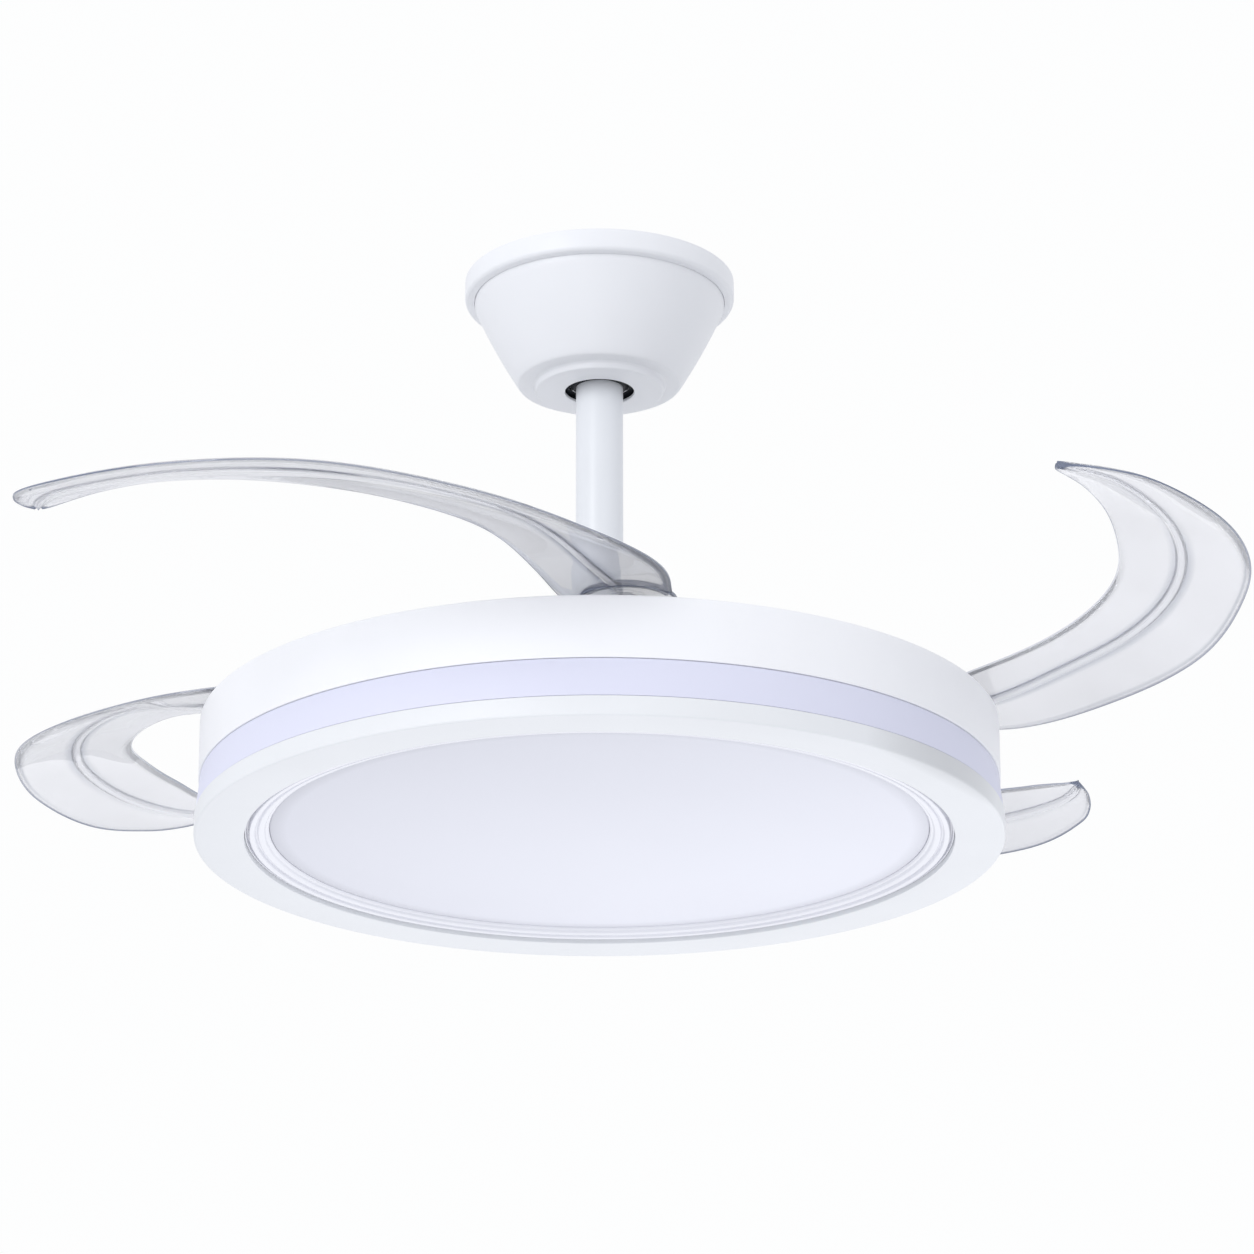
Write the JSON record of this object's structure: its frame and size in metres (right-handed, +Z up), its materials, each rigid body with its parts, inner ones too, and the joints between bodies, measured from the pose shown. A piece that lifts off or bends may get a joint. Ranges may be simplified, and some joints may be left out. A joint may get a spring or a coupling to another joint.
{
  "type": "retractable blade ceiling fan",
  "caption": "Ceiling fan whose clear crescent blades swing out from over a round drum lamp and fold in again, hung on a short rod from a bowl canopy.",
  "frame": {"origin": "middle of the ceiling bracket's top face, where it meets the ceiling", "axes": "+Z up out of the bracket into the ceiling; the fan hangs along -Z; -Y faces the picture's camera, +X to its right"},
  "size_m": [0.7662, 0.7662, 0.378],
  "materials": {
    "white_paint": "smooth white satin paint",
    "white_plastic": "white moulded plastic, soft gloss",
    "lilac_diffuser": "milky acrylic with a lilac tint",
    "clear_plastic": "clear polycarbonate, polished",
    "plated_steel": "zinc-plated steel",
    "dark_steel": "dark oiled spring and lamination steel",
    "aluminium": "cast, lightly machined",
    "black_rubber": "black moulded, faint sheen",
    "white_nylon": "natural nylon",
    "copper_winding": "lacquered copper wire",
    "ferrite": "dull sintered magnet"
  },
  "bodies": {
    "hanger": {"ceiling_bracket": "plated_steel", "canopy": "white_paint", "canopy_ring": "white_paint", "canopy_screw_1": "plated_steel", "canopy_screw_2": "plated_steel", "receiver": "white_plastic", "terminal_block": "white_nylon"},
    "seat": {"ball_seat": "white_nylon"},
    "drop": {"hanger_ball": "black_rubber", "ball_pin": "plated_steel", "downrod": "white_paint", "yoke": "white_paint", "clevis_pin": "plated_steel", "cotter_pin": "plated_steel", "set_screw": "dark_steel", "motor_shaft": "plated_steel", "bearing_lower": "plated_steel", "bearing_upper": "plated_steel", "stator_core": "dark_steel", "stator_winding": "copper_winding", "lamp_tray": "white_paint", "shaft_nut": "plated_steel", "top_band": "white_plastic", "side_diffuser": "lilac_diffuser", "lower_ring": "white_plastic", "trim_ring": "white_plastic", "lens": "lilac_diffuser", "reflector_pan": "white_paint", "led_board": "aluminium", "led_driver": "white_plastic", "standoff_1": "plated_steel", "standoff_2": "plated_steel", "standoff_3": "plated_steel", "standoff_4": "plated_steel"},
    "rotor": {"rotor_case_lower": "aluminium", "rotor_case_upper": "white_paint", "magnet_ring": "ferrite", "rotor_back_iron": "dark_steel", "blade_plate": "plated_steel", "pivot_pin_1": "plated_steel", "pivot_pin_2": "plated_steel", "pivot_pin_3": "plated_steel", "pivot_pin_4": "plated_steel", "return_spring_1": "dark_steel", "return_spring_2": "dark_steel", "return_spring_3": "dark_steel", "return_spring_4": "dark_steel", "blade_clip_1": "dark_steel", "blade_clip_2": "dark_steel", "blade_clip_3": "dark_steel", "blade_clip_4": "dark_steel"},
    "sync": {"sync_gear": "white_nylon"},
    "blade_1": {"blade_1": "clear_plastic", "blade_gear_1": "white_nylon"},
    "blade_2": {"blade_2": "clear_plastic", "blade_gear_2": "white_nylon"},
    "blade_3": {"blade_3": "clear_plastic", "blade_gear_3": "white_nylon"},
    "blade_4": {"blade_4": "clear_plastic", "blade_gear_4": "white_nylon"}
  },
  "joints": [
    {"name": "tilt_x", "type": "hinge", "parent": "hanger", "child": "seat", "pos_m": [0, 0, -0.053], "axis": [1, 0, 0], "range_deg": [-8, 8]},
    {"name": "tilt_y", "type": "hinge", "parent": "seat", "child": "drop", "pos_m": [0, 0, -0.053], "axis": [0, 1, 0], "range_deg": [-8, 8]},
    {"name": "rotor_spin", "type": "hinge", "parent": "drop", "child": "rotor", "pos_m": [0, 0, -0.28], "axis": [0, 0, 1], "continuous": true},
    {"name": "blade_fold_1", "type": "hinge", "parent": "rotor", "child": "blade_1", "pos_m": [0.0159, -0.18933, -0.287], "axis": [0, 0, 1], "range_deg": [-75, 0], "stiffness_Nm_per_rad": 0.02, "springref_deg": -108.86},
    {"name": "blade_fold_2", "type": "hinge", "parent": "rotor", "child": "blade_2", "pos_m": [0.18933, 0.0159, -0.287], "axis": [0, 0, 1], "range_deg": [-75, 0], "stiffness_Nm_per_rad": 0.02, "springref_deg": -108.86},
    {"name": "blade_fold_3", "type": "hinge", "parent": "rotor", "child": "blade_3", "pos_m": [-0.0159, 0.18933, -0.287], "axis": [0, 0, 1], "range_deg": [-75, 0], "stiffness_Nm_per_rad": 0.02, "springref_deg": -108.86},
    {"name": "blade_fold_4", "type": "hinge", "parent": "rotor", "child": "blade_4", "pos_m": [-0.18933, -0.0159, -0.287], "axis": [0, 0, 1], "range_deg": [-75, 0], "stiffness_Nm_per_rad": 0.02, "springref_deg": -108.86},
    {"name": "sync_turn", "type": "hinge", "parent": "rotor", "child": "sync", "pos_m": [0, 0, -0.295], "axis": [0, 0, 1], "range_deg": [0, 14.1]}
  ],
  "couplings": [
    {"joint": "blade_fold_2", "follows": "blade_fold_1", "ratio": 1},
    {"joint": "blade_fold_3", "follows": "blade_fold_1", "ratio": 1},
    {"joint": "blade_fold_4", "follows": "blade_fold_1", "ratio": 1},
    {"joint": "sync_turn", "follows": "blade_fold_1", "ratio": -0.1875}
  ]
}
